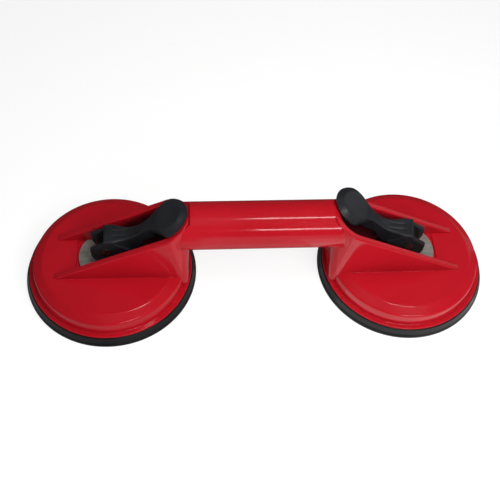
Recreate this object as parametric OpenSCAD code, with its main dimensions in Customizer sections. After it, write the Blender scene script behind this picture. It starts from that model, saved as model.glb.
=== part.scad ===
// Hand vacuum lifter: two lever-worked suction cups on one cast body with a round grip.
// Millimetres. Z is up from the surface that the pads stand on, X runs along the grip.
// Each cup is drawn in its own frame, with +X pointing from the cup's axis towards the grip.

/* [Overall] */
// Distance between the axes of the two cups
cup_spacing = 205; // [180:1:260]
// Angle by which the right lever stands swung aside in its play, the left one being straight
right_swing = 9; // [0:0.5:9]

/* [Suction pad] */
// Outer diameter of the rubber pad
pad_d = 118; // [112:1:126]
// Height of the pad's rim, up to the underside of the casting
pad_h = 7.4; // [7:0.1:10]
// Inward lean of the pad's side
pad_lean = 2.2; // [0.5:0.1:2.6]
// Width of the flat sealing lip
lip_w = 14; // [8:0.5:18]
// Depth of the vacuum chamber with the lever locked
chamber_h = 5; // [4.8:0.1:6]
// Diameter of the flat roof of the vacuum chamber
chamber_roof_d = 28; // [16:1:34]
// Rubber under the pad plate
pad_skin = 3; // [2:0.1:4]
// Width of the pad's upper face that the casting bears on
pad_seat_w = 9; // [6:0.5:9]
// Rubber collar around the pad plate
collar_t = 2; // [1:0.1:3]

/* [Cup casting] */
// Distance from the pad's edge in to the flange's edge
flange_inset = 2.9; // [2.7:0.1:4]
// Thickness of the flange
flange_t = 1.2; // [1:0.1:3]
// Width of the flange outside the cup's wall
flange_w = 3.1; // [2.5:0.1:5]
// Height of the cup's flat top
cup_h = 20.9; // [20:0.1:24]
// How far the wall leans in over its height
wall_draft = 0.9; // [0.5:0.1:3]
// Width of the sloped shoulder
shoulder_w = 6.4; // [5:0.1:7]
// Fall of the sloped shoulder
shoulder_drop = 3.3; // [2:0.1:3.6]
// Radius of the edge between the shoulder and the wall
shoulder_r = 3; // [1:0.1:3.5]
// Thickness of the cup's wall
cup_wall = 3.9; // [2.5:0.1:4.5]
// Thickness of the cup's top
top_t = 3.9; // [3.2:0.1:4.5]
// Number of stiffening ribs under the top
rib_count = 8; // [4:1:12]
// Thickness of a rib
rib_t = 2.4; // [1.5:0.1:4]
// Depth of a rib below the top
rib_h = 4; // [2:0.1:4.5]

/* [Lever housing] */
// Width over the two cheeks
housing_w = 36; // [34:0.5:38]
// Thickness of a cheek
cheek_t = 4.5; // [3:0.1:5]
// From the cup's axis out to where the cheeks run into the top
housing_tail = 36.5; // [34:0.1:40]
// From the cup's axis to the round end at the grip
housing_reach = 56; // [54:0.1:56.5]
// How much the foot of the round end is set back
foot_setback = 2.5; // [1:0.1:5]
// Corner radius of that foot
foot_corner = 5; // [3:0.5:8]
// Depth of the lever's channel, measured down from the rim
channel_depth = 20; // [17:0.5:24]
// Half length of the pocket in the top that holds the cam plate
pocket_reach = 22; // [21.5:0.1:24]
// Depth of that pocket
pocket_depth = 1.4; // [0.5:0.1:1.8]

/* [Grip] */
// Diameter of the grip
grip_d = 31.8; // [28:0.1:34]
// Height of the grip's axis
grip_z = 54.5; // [50:0.5:62]
// How far the rim's end lies below the top of the grip
rim_below_grip = 2.2; // [0:0.1:3]
// Ledge from the rim down to the cut ends of the grip
grip_ledge = 0.5; // [0.3:0.1:1]
// Wall of the grip, which is cored from below
grip_wall = 4; // [3:0.1:6]
// Width of the core's mouth
grip_mouth_w = 16; // [10:0.5:20]
// Number of cells in the core
grip_cells = 4; // [2:1:6]
// Thickness of the web between two cells
grip_web = 2.6; // [1.5:0.1:4]
// Solid metal at each end of the core
grip_end_t = 5; // [3:0.5:12]
// How far the webs stand back from the core's mouth
web_setback = 3; // [1:0.5:6]

/* [Draw gear] */
// Diameter of the draw stud
stud_d = 14; // [12:0.1:15]
// Thickness of the stud's eye between its two flats
eye_t = 8.4; // [7:0.1:9]
// Diameter of the stud's threaded end
thread_d = 12; // [8:0.1:13]
// Diameter of the lever pin
pin_d = 6; // [4:0.1:7]
// How far the pin stands out of the lever at each side
pin_proud = 0.4; // [0:0.1:0.5]
// Diameter of the pad plate
plate_d = 40; // [36:0.5:44]
// Thickness of the pad plate
plate_t = 2; // [1.5:0.1:2.5]
// Width of the lock nut across its flats
nut_w = 18; // [16:0.1:19]
// Height of the lock nut
nut_h = 4.6; // [3:0.1:4.8]
// Wall of the guide bush
bush_wall = 2; // [1.2:0.1:2.5]
// Wall of the boss that holds the bush
boss_wall = 2.4; // [1.5:0.1:3]
// How far the boss and the bush hang below the top
boss_drop = 1.2; // [0.5:0.1:1.4]
// Length of the cam plate
cam_plate_l = 41; // [36:0.5:42]
// Thickness of the cam plate
cam_plate_t = 2.5; // [1.5:0.1:3]
// Gap between the cam plate and each cheek
cam_plate_gap = 0.5; // [0.3:0.1:1]
// Radial clearance of the stud in its bush and of the pin in the eye
running_clearance = 0.05; // [0.02:0.01:0.1]
// Clearance around the stud in the cam plate
stud_clearance = 0.4; // [0.3:0.1:1]

/* [Spring] */
// Wire of the return spring
wire_d = 1.6; // [1:0.1:1.7]
// Turns of the return spring
spring_turns = 3; // [2:0.25:3]
// Mean radius of the spring's wide lower end
spring_low_r = 17.8; // [17:0.1:18]
// Mean radius of the spring's narrow upper end
spring_high_r = 12.8; // [12.6:0.1:13.2]
// Outer diameter of the spring washer
washer_d = 36; // [32:0.5:37]
// Thickness of the spring washer
washer_t = 1; // [0.6:0.1:1.2]
// Gap left at each end of the spring
spring_gap = 0.1; // [0.05:0.01:0.2]

/* [Lever] */
// Travel of the draw stud between locked and released
stroke = 4; // [3:0.1:4.4]
// Angle through which the lever opens
lever_open = 90; // [80:1:90]
// From the pin down to the cam's face with the lever released
cam_low = 10.5; // [9.5:0.1:12]
// Gap between the cam and the cam plate
cam_gap = 0.1; // [0.05:0.01:0.3]
// Thickness of each arm of the fork
fork_t = 2.9; // [2.5:0.1:4]
// Gap between the fork and each flat of the stud
fork_gap = 0.4; // [0.3:0.1:1]
// Gap around the stud's round head inside the lever
head_gap = 0.8; // [0.5:0.1:1.5]
// Height of the fork's outer end above the pin
fork_nose = 5.1; // [4:0.1:7]
// Height of the fork above the pin, at the outer face of the bridge
fork_top = 8.9; // [8:0.1:10]
// From the pin to the end of the heel behind the fork
heel_l = 15; // [13:0.5:16]
// Height of the heel's end above the pin
heel_top = 1.5; // [0.5:0.1:3]
// From the pin down to the underside of the heel
heel_drop = 6; // [4:0.5:8]
// Height of the bridge over the stud's head
bridge_t = 3.5; // [3:0.1:6]
// From the pin out to the outer face of the bridge
bridge_out = 1.2; // [0:0.1:3]
// Length of the bridge along the lever
bridge_l = 3.7; // [3:0.1:5]
// Width of the lever's neck
neck_w = 8.5; // [7.5:0.1:9.4]
// From the pin to the narrowest place of the neck
waist_x = 25; // [23:0.5:26]
// Radius of the neck's sides from there back to the bridge
waist_r = 62; // [56:0.5:66]
// From the pin to where the sides of the thumb pad, run straight on, would meet the neck
flare_x = 29.8; // [29:0.1:31]
// Angle at which these sides spread
flare_angle = 43; // [40:1:46]
// Radius of the hollow between the neck and these sides
flare_r = 12; // [10:0.5:14]
// How far the neck's top lies above the rim
neck_over = 0.7; // [0:0.1:2]
// From the pin to where the top starts to rise towards the thumb pad
rise_x = 19; // [17:0.5:20]
// Length of that rise
rise_l = 17; // [15:0.5:18]
// How far the keel under the neck reaches below the rim
keel_depth = 8; // [6:0.5:12]
// From the pin to the keel's end
keel_end = 44; // [38:0.5:44]
// Slope at the keel's end
keel_toe = 3; // [1:0.5:6]
// How far the thumb pad's top lies above the rim
thumb_over = 5.9; // [5.5:0.1:8]
// Width of the thumb pad
thumb_w = 31; // [28:0.5:32]
// Gap between the thumb pad and the rim
thumb_gap = 1.2; // [1.1:0.1:1.5]
// Height of the thumb pad's side below its bevel
thumb_edge = 1.2; // [0.8:0.1:2]
// Width of the bevel along the thumb pad's sides
thumb_bevel = 4; // [1:0.1:6]
// Distance of the tip from the outside of the housing's round end
tip_inset = 1.5; // [1:0.1:4]
// Fall of the thumb pad towards its tip
tip_fall = 2.8; // [1:0.1:2.9]
// Length of that fall
tip_fall_l = 9; // [6:0.5:14]
// Skin of the lever over the hollow in its keel
lever_skin = 3.4; // [2.5:0.1:5]
// Width of that hollow
hollow_w = 4.6; // [3:0.1:5]
// Number of cells in that hollow
hollow_cells = 3; // [2:1:5]
// Thickness of the rib between two cells
hollow_rib = 1.8; // [1.2:0.1:3]
// From the pin to the start of the two grooves along the neck
groove_x = 5; // [4:0.5:8]
// Length of these grooves
groove_l = 20; // [10:0.5:22]
// Width of a groove
groove_w = 1.4; // [1:0.1:2]
// Depth of a groove
groove_depth = 0.8; // [0.4:0.1:1.5]

/* [Hidden] */
$fn = 96;
eps = 0.01;
over = 1;
big = 400;
left = -1;
right = 1;
red = [0.72, 0.08, 0.11];
black_plastic = [0.13, 0.13, 0.14];
rubber = [0.09, 0.09, 0.09];
steel = [0.68, 0.68, 0.66];
dark_steel = [0.16, 0.16, 0.17];
cam_steel = [0.5, 0.48, 0.44];
nylon = [0.86, 0.85, 0.8];

// Radii and levels of the cup
pad_r = pad_d / 2;
flange_r = pad_r - flange_inset;
flange_top = pad_h + flange_t;
wall_foot_r = flange_r - flange_w;
wall_head_r = wall_foot_r - wall_draft;
crease_r = wall_head_r - shoulder_w;
shoulder_z = cup_h - shoulder_drop;
ceiling_z = cup_h - top_t;
pocket_z = cup_h - pocket_depth;

// Rim of the lever housing: a straight slope from the cup's top up to the grip
grip_r = grip_d / 2;
housing_r = housing_w / 2;
end_x = housing_reach - housing_r;
rim_slope = (grip_z + grip_r - rim_below_grip - cup_h) / (housing_reach + housing_tail);
function rim_z(x) = cup_h + (x + housing_tail) * rim_slope;
channel_r = housing_r - cheek_t;

// Draw gear, stacked up from the pad with the lever locked
plate_z = chamber_h + pad_skin;
nut_z = plate_z + plate_t;
shank_z = nut_z + nut_h;
bush_r = stud_d / 2 + running_clearance + bush_wall;
boss_r = bush_r + boss_wall;
boss_z = ceiling_z - boss_drop;
washer_z = ceiling_z - washer_t;
cam_top = pocket_z + cam_plate_t;
pin_z = cam_top + cam_low + stroke;

// The fork of the lever, on both flats of the stud
fork_r = eye_t / 2 + fork_gap;
fork_out = fork_r + fork_t;
head_r = stud_d / 2 + head_gap;

// Corner of an outline rounded by an arc: points from the side of a to the side of b around p
arc_steps = 6;
function unit(v) = v / norm(v);
function round_corner(a, p, b, r) =
    let (
        to_a = unit(a - p),
        to_b = unit(b - p),
        corner = acos(to_a * to_b),
        turn = 180 - corner,
        middle = p + unit(to_a + to_b) * r / sin(corner / 2),
        from = p + to_a * r / tan(corner / 2) - middle,
        to = p + to_b * r / tan(corner / 2) - middle
    )
    [for (i = [0:arc_steps])
        middle + (from * sin(turn * (1 - i / arc_steps)) + to * sin(turn * i / arc_steps)) / sin(turn)];

// Outline whose entries are [x, y] for a sharp corner and [x, y, radius] for a round one
function flat(p) = [p[0], p[1]];
function outline(path) = [
    for (i = [0:len(path) - 1])
        let (
            n = len(path),
            before = flat(path[(i + n - 1) % n]),
            here = flat(path[i]),
            after = flat(path[(i + 1) % n])
        )
        each len(path[i]) == 3 ? round_corner(before, here, after, path[i][2]) : [here]
];

// Smooth step from 0 to 1
function ease(t) =
    let (s = min(1, max(0, t)))
    s * s * (3 - 2 * s);

// Puts a cup's piece at its cup, with the cup's +X turned towards the grip
module on_cup(side) {
    translate([side * cup_spacing / 2, 0, 0])
        mirror([side == right ? 1 : 0, 0, 0])
            children();
}

// Swings the stud, and what hangs on it, about the cup's axis
module on_stud(side) {
    on_cup(side)
        rotate([0, 0, side == right ? right_swing : 0])
            children();
}

// Draws an outline of x and z at constant thickness across the lever
module across(width) {
    rotate([90, 0, 0])
        linear_extrude(width, center = true)
            children();
}

// Casting

// Outside of one cup: flange, leaning wall, sloped shoulder and flat top
edge_r = 0.6;
module cup_solid() {
    rotate_extrude()
        polygon(outline([
            [0, pad_h],
            [flange_r, pad_h],
            [flange_r, flange_top, edge_r],
            [wall_foot_r, flange_top, edge_r],
            [wall_head_r, shoulder_z, shoulder_r],
            [crease_r, cup_h, 4 * edge_r],
            [0, cup_h]
        ]));
}

// Space inside one cup, above the pad
module cup_hollow() {
    rotate_extrude()
        polygon([
            [0, pad_h - over],
            [wall_foot_r - cup_wall, pad_h - over],
            [wall_head_r - cup_wall, shoulder_z - top_t],
            [crease_r - cup_wall / 2, ceiling_z],
            [0, ceiling_z]
        ]);
}

// Everything below the sloping rim, as a wedge across the housing
module below_rim(offset_z, width) {
    low_x = -housing_tail - housing_w;
    high_x = housing_reach + housing_w;
    across(width)
        polygon([
            [low_x, -big],
            [high_x, -big],
            [high_x, rim_z(high_x) + offset_z],
            [low_x, rim_z(low_x) + offset_z]
        ]);
}

// Everything above that rim, less a ledge, which the ends of the grip keep out of
module above_rim(width) {
    low_x = -housing_tail;
    across(width)
        polygon([
            [low_x, rim_z(low_x) - grip_ledge],
            [housing_reach, rim_z(housing_reach) - grip_ledge],
            [housing_reach, big],
            [low_x, big]
        ]);
}

// Outside of the lever housing: straight cheeks, an end that is square at the flange and round at the rim
module housing_solid() {
    foot_x = housing_reach - foot_setback - foot_corner;
    foot_z = pad_h + flange_t / 2;
    head_z = rim_z(housing_reach) + over;
    intersection() {
        hull() {
            for (s = [-1, 1])
                translate([foot_x, s * (housing_r - foot_corner), foot_z])
                    cylinder(r = foot_corner, h = eps, $fn = 48);
            translate([end_x, 0, head_z])
                cylinder(r = housing_r, h = eps);
            for (z = [foot_z, head_z])
                translate([-housing_tail, -housing_r, z])
                    cube([eps, housing_w, eps]);
        }
        below_rim(0, housing_w + 2 * over);
    }
}

// Slot with a round end at the grip side, in plan
module channel_plan(r) {
    circle(r);
    translate([-big, -r])
        square([big, 2 * r]);
}

// The lever's channel: a sloping floor under the lever, and a level pocket for the cam plate
module channel() {
    difference() {
        translate([end_x, 0, cup_h])
            linear_extrude(big)
                channel_plan(channel_r);
        below_rim(-channel_depth, housing_w);
    }
    translate([-pocket_reach, -channel_r, pocket_z])
        cube([2 * pocket_reach, 2 * channel_r, channel_depth]);
}

// Boss for the guide bush
module bush_boss() {
    translate([0, 0, boss_z])
        cylinder(r = boss_r, h = ceiling_z - boss_z + eps);
}

// Stiffening ribs between the spring washer and the cup's wall
module cup_ribs() {
    rib_from = (washer_d + rib_t) / 2;
    rib_to = crease_r - cup_wall / 2;
    for (i = [0:rib_count - 1])
        rotate([0, 0, (i + 0.5) * 360 / rib_count])
            translate([rib_from, -rib_t / 2, ceiling_z - rib_h])
                cube([rib_to - rib_from, rib_t, rib_h + eps]);
}

// Grip, and the cells that core it from below
grip_l = cup_spacing - 2 * (end_x - cheek_t);
core_l = cup_spacing - 2 * (housing_reach + grip_end_t);
cell_l = (core_l - (grip_cells - 1) * grip_web) / grip_cells;
module along_grip(from, length) {
    translate([from, 0, grip_z])
        rotate([90, 0, 90])
            linear_extrude(length)
                children();
}

module grip_solid() {
    difference() {
        along_grip(-grip_l / 2, grip_l)
            circle(grip_r);
        for (side = [left, right])
            on_cup(side)
                above_rim(grip_d + 2 * over);
    }
}

module grip_core() {
    core_r = grip_r - grip_wall;
    mouth_z = -sqrt(pow(grip_r, 2) - pow(grip_mouth_w / 2, 2));
    along_grip(-core_l / 2, core_l)
        translate([-grip_mouth_w / 2, -grip_d])
            square([grip_mouth_w, grip_d + mouth_z + web_setback]);
    for (i = [0:grip_cells - 1])
        along_grip(-core_l / 2 + i * (cell_l + grip_web), cell_l) {
            intersection() {
                circle(core_r);
                translate([-grip_mouth_w / 2, -core_r])
                    square([grip_mouth_w, 2 * core_r]);
            }
            translate([-grip_mouth_w / 2, -grip_d])
                square([grip_mouth_w, grip_d]);
        }
}

module body() {
    color(red)
        difference() {
            union() {
                difference() {
                    union() {
                        for (side = [left, right])
                            on_cup(side) {
                                cup_solid();
                                housing_solid();
                            }
                        grip_solid();
                    }
                    for (side = [left, right])
                        on_cup(side) {
                            cup_hollow();
                            channel();
                        }
                    grip_core();
                }
                for (side = [left, right])
                    on_cup(side) {
                        bush_boss();
                        cup_ribs();
                    }
            }
            for (side = [left, right])
                on_cup(side)
                    cylinder(r = bush_r, h = cup_h);
        }
}

// Rubber pad

// Underside of the pad: flat lip, then a smooth rise to the chamber's roof
dome_steps = 10;
function dome(t) =
    let (
        lip_r = pad_r - lip_w,
        roof_r = chamber_roof_d / 2
    )
    [roof_r + (lip_r - roof_r) * t, chamber_h * (1 - ease(t))];

module suction_pad() {
    lip_edge = 0.8;
    seat_edge = 0.6;
    seat_step = 0.8;
    collar_in = plate_d / 2 + running_clearance;
    collar_out = collar_in + collar_t;
    floor_z = plate_z - running_clearance;
    collar_z = floor_z + plate_t / 2;
    seat_in = flange_r - pad_seat_w;
    web_z = pad_h - seat_step;
    color(rubber)
        rotate_extrude()
            polygon(outline(concat(
                [[0, chamber_h]],
                [for (i = [0:dome_steps]) dome(i / dome_steps)],
                [
                    [pad_r, 0, lip_edge],
                    [pad_r, 2 * lip_edge],
                    [pad_r - pad_lean, pad_h, seat_edge],
                    [seat_in, pad_h],
                    [seat_in - seat_step, web_z],
                    [collar_out + collar_t, web_z],
                    [collar_out, collar_z],
                    [collar_in, collar_z],
                    [collar_in, floor_z],
                    [0, floor_z]
                ]
            )));
}

// Draw gear

// Steel disc in the top of the pad
module pad_plate() {
    color(steel)
        translate([0, 0, plate_z])
            difference() {
                cylinder(d = plate_d, h = plate_t);
                translate([0, 0, -over])
                    cylinder(d = thread_d, h = plate_t + 2 * over);
            }
}

// Thin hexagon nut on the pad plate
module lock_nut() {
    color(steel)
        translate([0, 0, nut_z])
            difference() {
                cylinder(d = nut_w / cos(30), h = nut_h, $fn = 6);
                translate([0, 0, -over])
                    cylinder(d = thread_d, h = nut_h + 2 * over);
            }
}

// Round bar with two flats and an eye at its head, and a threaded end
module draw_stud() {
    color(dark_steel)
        difference() {
            union() {
                translate([0, 0, plate_z])
                    cylinder(d = thread_d, h = shank_z - plate_z);
                translate([0, 0, shank_z])
                    cylinder(d = stud_d, h = pin_z - shank_z);
                intersection() {
                    translate([0, 0, pin_z])
                        cylinder(d = stud_d, h = stud_d);
                    translate([0, 0, pin_z])
                        rotate([90, 0, 0])
                            cylinder(d = stud_d, h = stud_d, center = true);
                }
            }
            for (s = [-1, 1])
                translate([-stud_d, s * (eye_t + stud_d) / 2 - stud_d / 2, cam_top - fork_gap])
                    cube([2 * stud_d, stud_d, pin_z]);
            translate([0, 0, pin_z])
                rotate([90, 0, 0])
                    cylinder(r = pin_d / 2 + running_clearance, h = 2 * stud_d, center = true);
        }
}

// Sleeve that the stud slides in
module guide_bush() {
    color(nylon)
        translate([0, 0, boss_z])
            difference() {
                cylinder(r = bush_r, h = pocket_z - boss_z);
                translate([0, 0, -over])
                    cylinder(r = stud_d / 2 + running_clearance, h = pocket_z - boss_z + 2 * over);
            }
}

// Upper seat of the spring
module spring_washer() {
    color(steel)
        translate([0, 0, washer_z])
            difference() {
                cylinder(d = washer_d, h = washer_t);
                translate([0, 0, -over])
                    cylinder(r = boss_r + running_clearance, h = washer_t + 2 * over);
            }
}

// Steel plate with round ends that the lever's cams run on
module cam_plate() {
    color(cam_steel)
        translate([0, 0, pocket_z])
            linear_extrude(cam_plate_t)
                difference() {
                    intersection() {
                        circle(d = cam_plate_l);
                        square([cam_plate_l, 2 * (channel_r - cam_plate_gap)], center = true);
                    }
                    circle(r = stud_d / 2 + stud_clearance);
                }
}

// Conical return spring

turn_rings = 8;
wire_sides = 6;
spring_rings = spring_turns * turn_rings;
spring_foot = nut_z + wire_d / 2 + spring_gap;
spring_head = washer_z - wire_d / 2 - spring_gap;
function spring_point(i) =
    let (
        t = i / spring_rings,
        angle = 360 * i / turn_rings,
        r = spring_low_r + (spring_high_r - spring_low_r) * t
    )
    [r * cos(angle), r * sin(angle), spring_foot + (spring_head - spring_foot) * t];
function wire_ring(i) =
    let (
        angle = 360 * i / turn_rings,
        out = [cos(angle), sin(angle), 0],
        middle = spring_point(i)
    )
    [for (j = [0:wire_sides - 1])
        let (a = 360 * j / wire_sides)
        middle + wire_d / 2 * (cos(a) * out + sin(a) * [0, 0, 1])];

// Least clear distance between two neighbouring turns, measured on the wire's middle line
spring_clear = min([for (i = [0:spring_rings - turn_rings])
    norm(spring_point(i + turn_rings) - spring_point(i)) - wire_d]);

module return_spring() {
    points = [for (i = [0:spring_rings]) each wire_ring(i)];
    last = spring_rings * wire_sides;
    tube = [
        for (i = [0:spring_rings - 1], j = [0:wire_sides - 1])
            let (
                a = i * wire_sides + j,
                b = i * wire_sides + (j + 1) % wire_sides
            )
            each [[a, b, a + wire_sides], [b, b + wire_sides, a + wire_sides]]
    ];
    caps = [
        for (j = [1:wire_sides - 2])
            each [[0, j + 1, j], [last, last + j, last + j + 1]]
    ];
    color(steel)
        polyhedron(points, concat(tube, caps));
}

// Lever

bridge_top = pin_z + head_r + bridge_t;
bridge_x = -bridge_out;
tip_x = housing_reach - tip_inset;
thumb_x = tip_x - thumb_w / 2;
crown_x = tip_x - tip_fall_l;
top_steps = 20;

// Height of the lever's top: level over the bridge, along the rim at the neck, higher at the thumb pad
function lever_top(x) =
    max(
        bridge_top,
        rim_z(x) + neck_over + (thumb_over - neck_over) * ease((x - rise_x) / rise_l)
    )
    - tip_fall * pow(max(0, (x - crown_x) / tip_fall_l), 2);
function top_line(from, to) = [
    for (i = [0:top_steps])
        let (x = from + (to - from) * i / top_steps)
        [x, lever_top(x)]
];

// Cam face: the stud drops in proportion to the lever's angle, so the face is an involute
cam_rate = stroke / lever_open;
cam_run_on = 6;
cam_steps = 24;
function cam_point(angle) =
    let (
        slip = cam_rate * 180 / PI,
        reach = cam_low + stroke - cam_gap - cam_rate * angle
    )
    [-reach * sin(angle) + slip * cos(angle), pin_z - reach * cos(angle) - slip * sin(angle)];
cam_face = [
    for (i = [0:cam_steps])
        cam_point(lever_open + cam_run_on - (lever_open + 2 * cam_run_on) * i / cam_steps)
];

// Side view of the fork: the cam's face, the heel, the bridge and the flat that the open lever rests on
module fork_side() {
    nose_x = -cam_low + cam_gap;
    polygon(concat(
        cam_face,
        [
            [heel_l, pin_z - heel_drop],
            [heel_l, pin_z + heel_top],
            [bridge_x + bridge_l, bridge_top],
            [bridge_x, bridge_top],
            [bridge_x, pin_z + fork_top],
            [nose_x, pin_z + fork_nose]
        ]
    ));
}

// Side view of the bridge, the neck and its keel
module neck_side() {
    toe_x = keel_end - keel_toe;
    polygon(concat(
        [
            [bridge_x, pin_z],
            [head_r, pin_z - heel_drop],
            [heel_l, pin_z - heel_drop],
            [waist_x, rim_z(waist_x) - keel_depth],
            [toe_x, rim_z(toe_x) - keel_depth]
        ],
        top_line(keel_end, bridge_x)
    ));
}

// Side view of the thumb pad, which lies over the rim
module thumb_side() {
    from_x = rise_x + rise_l / 2;
    polygon(concat(
        [[from_x, rim_z(from_x) + thumb_gap], [tip_x, rim_z(tip_x) + thumb_gap]],
        top_line(tip_x, from_x)
    ));
}

// End view of the thumb pad, carried along the rim: low sides and a bevel on each
module thumb_bevels() {
    half = thumb_w / 2;
    rim_angle = atan(rim_slope);
    low = (thumb_gap + thumb_edge) * cos(rim_angle);
    high = thumb_over * cos(rim_angle);
    translate([thumb_x, 0, rim_z(thumb_x)])
        rotate([0, -rim_angle, 0])
            rotate([90, 0, 90])
                linear_extrude(3 * thumb_w, center = true)
                    polygon([
                        [-half, -half],
                        [half, -half],
                        [half, low],
                        [half - thumb_bevel, high],
                        [half - thumb_bevel, half],
                        [thumb_bevel - half, half],
                        [thumb_bevel - half, high],
                        [-half, low]
                    ]);
}

// The bridge narrows into the neck, which runs on as a keel of the same width
module neck_plan() {
    difference() {
        translate([bridge_x, -fork_out])
            square([waist_x - bridge_x, 2 * fork_out]);
        for (s = [-1, 1])
            translate([waist_x, s * (neck_w / 2 + waist_r)])
                circle(waist_r);
    }
    translate([bridge_x, -neck_w / 2])
        square([keel_end - bridge_x, neck_w]);
}

// The thumb pad spreads from the neck and ends in a round tip
module thumb_plan() {
    spread_x = flare_x + (thumb_w - neck_w / 2) / tan(flare_angle);
    intersection() {
        translate([thumb_x, 0])
            channel_plan(thumb_w / 2);
        polygon(outline([
            [bridge_x, -neck_w / 2],
            [flare_x, -neck_w / 2, flare_r],
            [spread_x, -thumb_w],
            [spread_x, thumb_w],
            [flare_x, neck_w / 2, flare_r],
            [bridge_x, neck_w / 2]
        ]));
    }
}

// Open space for the stud between the two arms of the fork, under the bridge over its head
module fork_slot() {
    across(2 * fork_r)
        polygon([
            [-big, -big],
            [head_r, -big],
            [head_r, pin_z + head_r],
            [-big, pin_z + head_r]
        ]);
}

// Cells in the keel, open downwards
module keel_hollow() {
    to_x = keel_end - 2 * keel_toe;
    cell = (to_x - waist_x - (hollow_cells - 1) * hollow_rib) / hollow_cells;
    for (i = [0:hollow_cells - 1]) {
        a = waist_x + i * (cell + hollow_rib);
        b = a + cell;
        across(hollow_w)
            polygon([
                [a, 0],
                [b, 0],
                [b, lever_top(b) - lever_skin],
                [a, lever_top(a) - lever_skin]
            ]);
    }
}

// Two shallow grooves along the top of the neck
module neck_grooves() {
    from_x = groove_x;
    to_x = groove_x + groove_l;
    for (s = [-1, 1])
        translate([0, s * neck_w / 4, 0])
            across(groove_w)
                polygon(concat(
                    [for (p = top_line(from_x, to_x)) p - [0, groove_depth]],
                    [[to_x, big], [from_x, big]]
                ));
}

module lever() {
    color(black_plastic)
        difference() {
            union() {
                across(2 * fork_out)
                    fork_side();
                intersection() {
                    across(housing_w)
                        neck_side();
                    linear_extrude(big)
                        neck_plan();
                }
                intersection() {
                    across(housing_w)
                        thumb_side();
                    linear_extrude(big)
                        thumb_plan();
                    thumb_bevels();
                }
            }
            fork_slot();
            keel_hollow();
            neck_grooves();
            translate([0, 0, pin_z])
                rotate([90, 0, 0])
                    cylinder(d = pin_d, h = housing_w, center = true);
        }
}

// Hinge pin of the lever, pressed into the fork
module lever_pin() {
    color(steel)
        translate([0, 0, pin_z])
            rotate([90, 0, 0])
                cylinder(d = pin_d, h = 2 * (fork_out + pin_proud), center = true);
}

// The pieces of each cup

module left_suction_pad() { on_cup(left) suction_pad(); }
module left_pad_plate() { on_stud(left) pad_plate(); }
module left_draw_stud() { on_stud(left) draw_stud(); }
module left_lock_nut() { on_stud(left) lock_nut(); }
module left_guide_bush() { on_cup(left) guide_bush(); }
module left_return_spring() { on_cup(left) return_spring(); }
module left_spring_washer() { on_cup(left) spring_washer(); }
module left_cam_plate() { on_cup(left) cam_plate(); }
module left_lever() { on_stud(left) lever(); }
module left_lever_pin() { on_stud(left) lever_pin(); }

module right_suction_pad() { on_cup(right) suction_pad(); }
module right_pad_plate() { on_stud(right) pad_plate(); }
module right_draw_stud() { on_stud(right) draw_stud(); }
module right_lock_nut() { on_stud(right) lock_nut(); }
module right_guide_bush() { on_cup(right) guide_bush(); }
module right_return_spring() { on_cup(right) return_spring(); }
module right_spring_washer() { on_cup(right) spring_washer(); }
module right_cam_plate() { on_cup(right) cam_plate(); }
module right_lever() { on_stud(right) lever(); }
module right_lever_pin() { on_stud(right) lever_pin(); }

echo(spring_clear = spring_clear);

body();
left_suction_pad();
left_pad_plate();
left_draw_stud();
left_lock_nut();
left_guide_bush();
left_return_spring();
left_spring_washer();
left_cam_plate();
left_lever();
left_lever_pin();
right_suction_pad();
right_pad_plate();
right_draw_stud();
right_lock_nut();
right_guide_bush();
right_return_spring();
right_spring_washer();
right_cam_plate();
right_lever();
right_lever_pin();
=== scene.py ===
import math

import bmesh
import bpy
import numpy as np
from mathutils import Matrix


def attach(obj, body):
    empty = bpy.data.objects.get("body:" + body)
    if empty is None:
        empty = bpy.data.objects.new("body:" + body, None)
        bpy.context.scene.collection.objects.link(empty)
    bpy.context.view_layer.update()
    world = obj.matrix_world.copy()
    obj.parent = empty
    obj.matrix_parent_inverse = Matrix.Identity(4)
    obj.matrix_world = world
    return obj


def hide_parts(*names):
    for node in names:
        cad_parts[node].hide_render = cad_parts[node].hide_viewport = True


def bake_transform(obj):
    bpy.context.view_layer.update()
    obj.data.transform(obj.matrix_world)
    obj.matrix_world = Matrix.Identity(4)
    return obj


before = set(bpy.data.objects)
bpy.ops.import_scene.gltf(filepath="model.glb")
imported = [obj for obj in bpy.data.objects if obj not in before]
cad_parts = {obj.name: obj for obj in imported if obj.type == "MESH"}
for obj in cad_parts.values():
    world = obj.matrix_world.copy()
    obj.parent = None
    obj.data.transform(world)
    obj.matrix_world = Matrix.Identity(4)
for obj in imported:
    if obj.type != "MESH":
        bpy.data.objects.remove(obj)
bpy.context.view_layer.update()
print("frame loaded:", len(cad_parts), "nodes")

mm = 0.001
weldDistance, sliverDistance = 2e-6, 1e-6  # metres
smoothUpTo, leverSmoothUpTo = 38.0, 32.0  # degrees; a steeper edge is shaded sharp
cupAxis = 102.5  # from the middle of the grip to each cup's axis
left, right = -1, 1
sideNames = {left: "left", right: "right"}


# smooth step from 0 to 1
def ease(t):
    t = np.clip(t, 0.0, 1.0)
    return t * t * (3.0 - 2.0 * t)


# straight ramp from 0 to 1 over a width, both of its corners rounded off
def softRamp(distance, width, soft):
    low = np.sqrt(distance**2 + soft**2)
    high = np.sqrt((distance - width) ** 2 + soft**2)
    return 0.5 + 0.5 * (low - high) / width


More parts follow.
